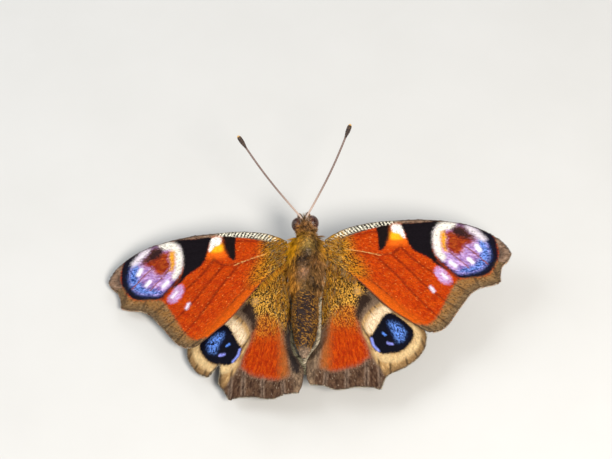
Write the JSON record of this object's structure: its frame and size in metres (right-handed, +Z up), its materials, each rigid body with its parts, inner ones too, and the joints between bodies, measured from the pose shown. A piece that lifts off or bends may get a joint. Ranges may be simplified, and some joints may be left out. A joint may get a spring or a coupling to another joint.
{
  "type": "peacock butterfly model",
  "caption": "Still life-size model of a peacock butterfly basking on its walking legs with open, drooping eye-spotted wings, furry body and clubbed antennae.",
  "frame": {"origin": "centre of the bounding box on the floor that the feet stand on", "axes": "+Y towards the head, +X towards the animal's right wings, +Z up"},
  "size_m": [0.0578, 0.0394, 0.0156],
  "materials": {
    "wing": "matt powdery wing scales, rust red with eyespots, near black beneath",
    "coat": "soft golden brown hair",
    "abdomen_coat": "short dark brown hair speckled with gold",
    "eye": "glossy faceted dark reddish brown",
    "leg": "dull dark brown with fine bristles",
    "horny": "smooth horny brown",
    "antenna": "ringed pinkish brown shaft, black club with a pale tip"
  },
  "bodies": {
    "root": {"thorax": "coat", "head": "coat", "palp_left": "coat", "palp_right": "coat", "abdomen": "abdomen_coat", "eye_left": "eye", "eye_right": "eye", "proboscis": "horny", "antenna_left": "antenna", "antenna_right": "antenna", "forewing_left": "wing", "forewing_right": "wing", "hindwing_left": "wing", "hindwing_right": "wing", "foreleg_left": "leg", "foreleg_right": "leg", "midleg_femur_left": "leg", "midleg_femur_right": "leg", "midleg_tibia_left": "leg", "midleg_tibia_right": "leg", "midleg_tarsus_left": "leg", "midleg_tarsus_right": "leg", "hindleg_femur_left": "leg", "hindleg_femur_right": "leg", "hindleg_tibia_left": "leg", "hindleg_tibia_right": "leg", "hindleg_tarsus_left": "leg", "hindleg_tarsus_right": "leg"}
  },
  "joints": []
}
